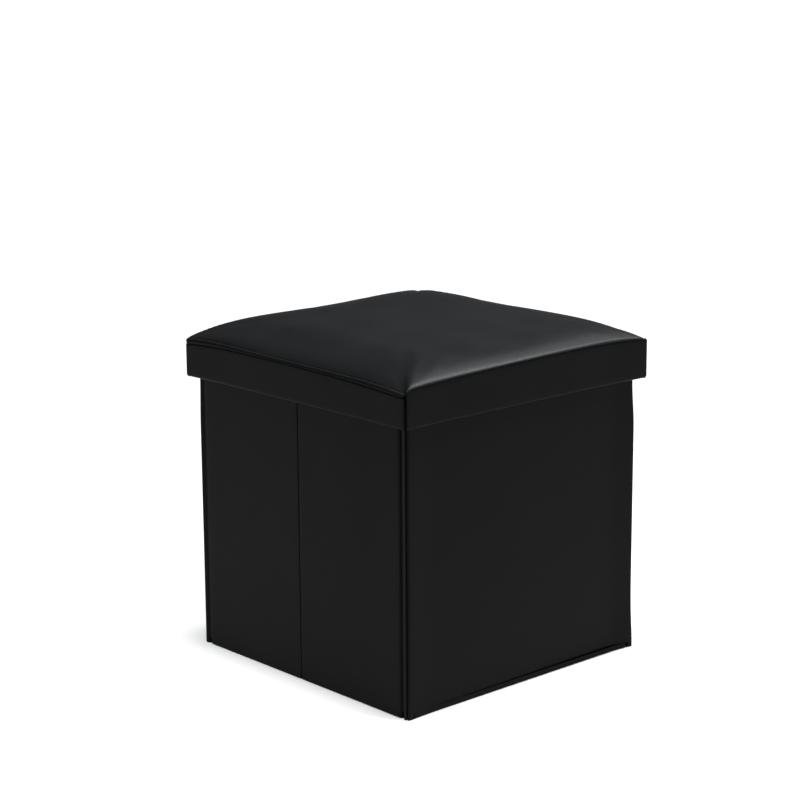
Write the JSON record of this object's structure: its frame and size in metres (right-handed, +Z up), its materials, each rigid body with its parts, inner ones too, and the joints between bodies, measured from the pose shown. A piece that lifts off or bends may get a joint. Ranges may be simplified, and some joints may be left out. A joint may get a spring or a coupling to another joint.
{
  "type": "folding storage ottoman",
  "caption": "Square cube ottoman with a padded lift-off lid over a hollow box whose side walls crease inwards to fold flat.",
  "frame": {"origin": "centre of the footprint on the floor", "axes": "+Z up, -Y out of the front wall (the plain one), +X to its right; the side walls with the crease face -X and +X"},
  "size_m": [0.38, 0.38, 0.3984],
  "materials": {
    "faux_leather": "satin",
    "lining_cloth": "matte",
    "fibreboard": "matte",
    "padding_foam": "matte",
    "ribbon": "satin"
  },
  "bodies": {
    "back_wall": {"back_wall_cover": "faux_leather", "back_wall_board": "fibreboard", "back_wall_lining": "lining_cloth", "rear_left_corner_strip": "faux_leather", "rear_right_corner_strip": "faux_leather"},
    "left_rear_wall": {"left_rear_wall_cover": "faux_leather", "left_rear_wall_board": "fibreboard", "left_rear_wall_lining": "lining_cloth", "left_rear_wall_hem": "faux_leather", "left_crease_strip": "faux_leather"},
    "left_front_wall": {"left_front_wall_cover": "faux_leather", "left_front_wall_board": "fibreboard", "left_front_wall_lining": "lining_cloth", "left_front_wall_hem": "faux_leather"},
    "front_wall": {"front_wall_cover": "faux_leather", "front_wall_board": "fibreboard", "front_wall_lining": "lining_cloth", "front_wall_hem": "faux_leather", "front_left_foot": "faux_leather", "front_right_foot": "faux_leather", "front_left_corner_strip": "faux_leather"},
    "right_rear_wall": {"right_rear_wall_cover": "faux_leather", "right_rear_wall_board": "fibreboard", "right_rear_wall_lining": "lining_cloth", "right_rear_wall_hem": "faux_leather", "right_crease_strip": "faux_leather"},
    "right_front_wall": {"right_front_wall_cover": "faux_leather", "right_front_wall_board": "fibreboard", "right_front_wall_lining": "lining_cloth", "right_front_wall_hem": "faux_leather"},
    "front_right_corner": {"front_right_corner_strip": "faux_leather"},
    "bottom_flap": {"bottom_board": "fibreboard", "bottom_sleeve": "lining_cloth", "flap_hinge_strip": "lining_cloth", "pull_tab": "ribbon"},
    "lid": {"lid_top_cover": "faux_leather", "lid_foam": "padding_foam", "lid_board": "fibreboard", "lid_lining": "lining_cloth", "lid_front_skirt_cover": "faux_leather", "lid_front_skirt_board": "fibreboard", "lid_right_skirt_cover": "faux_leather", "lid_right_skirt_board": "fibreboard", "lid_rear_skirt_cover": "faux_leather", "lid_rear_skirt_board": "fibreboard", "lid_left_skirt_cover": "faux_leather", "lid_left_skirt_board": "fibreboard"}
  },
  "joints": [
    {"name": "fold", "type": "hinge", "parent": "back_wall", "child": "left_rear_wall", "pos_m": [-0.169, 0.1665, 0], "axis": [0, 0, 1], "range_deg": [0, 90], "deforming": ["rear_left_corner_strip", "left_rear_wall_hem"]},
    {"name": "left_crease", "type": "hinge", "parent": "left_rear_wall", "child": "left_front_wall", "pos_m": [-0.1804, 0, 0], "axis": [0, 0, 1], "range_deg": [-180, 0], "deforming": ["left_crease_strip", "left_front_wall_hem"]},
    {"name": "front_left_hinge", "type": "hinge", "parent": "left_front_wall", "child": "front_wall", "pos_m": [-0.169, -0.1665, 0], "axis": [0, 0, 1], "range_deg": [0, 90], "deforming": ["front_left_corner_strip", "front_wall_hem"]},
    {"name": "right_rear_hinge", "type": "hinge", "parent": "back_wall", "child": "right_rear_wall", "pos_m": [0.169, 0.1665, 0], "axis": [0, 0, 1], "range_deg": [-90, 0], "deforming": ["rear_right_corner_strip", "right_rear_wall_hem"]},
    {"name": "right_crease", "type": "hinge", "parent": "right_rear_wall", "child": "right_front_wall", "pos_m": [0.1804, 0, 0], "axis": [0, 0, 1], "range_deg": [0, 180], "deforming": ["right_crease_strip", "right_front_wall_hem"]},
    {"name": "front_right_hinge", "type": "hinge", "parent": "front_wall", "child": "front_right_corner", "pos_m": [0.169, -0.1665, 0], "axis": [0, 0, 1], "range_deg": [0, 90], "deforming": ["front_right_corner_strip"]},
    {"name": "flap_hinge", "type": "hinge", "parent": "back_wall", "child": "bottom_flap", "pos_m": [0, 0.17, 0.005], "axis": [-1, 0, 0], "range_deg": [0, 90], "deforming": ["flap_hinge_strip"]},
    {"name": "lid_lift", "type": "slide", "parent": "back_wall", "child": "lid", "axis": [0, 0, 1], "range_m": [0, 0.3]}
  ],
  "couplings": [
    {"joint": "left_crease", "follows": "fold", "ratio": -2},
    {"joint": "front_left_hinge", "follows": "fold", "ratio": 1},
    {"joint": "right_rear_hinge", "follows": "fold", "ratio": -1},
    {"joint": "right_crease", "follows": "fold", "ratio": 2},
    {"joint": "front_right_hinge", "follows": "fold", "ratio": 1}
  ]
}
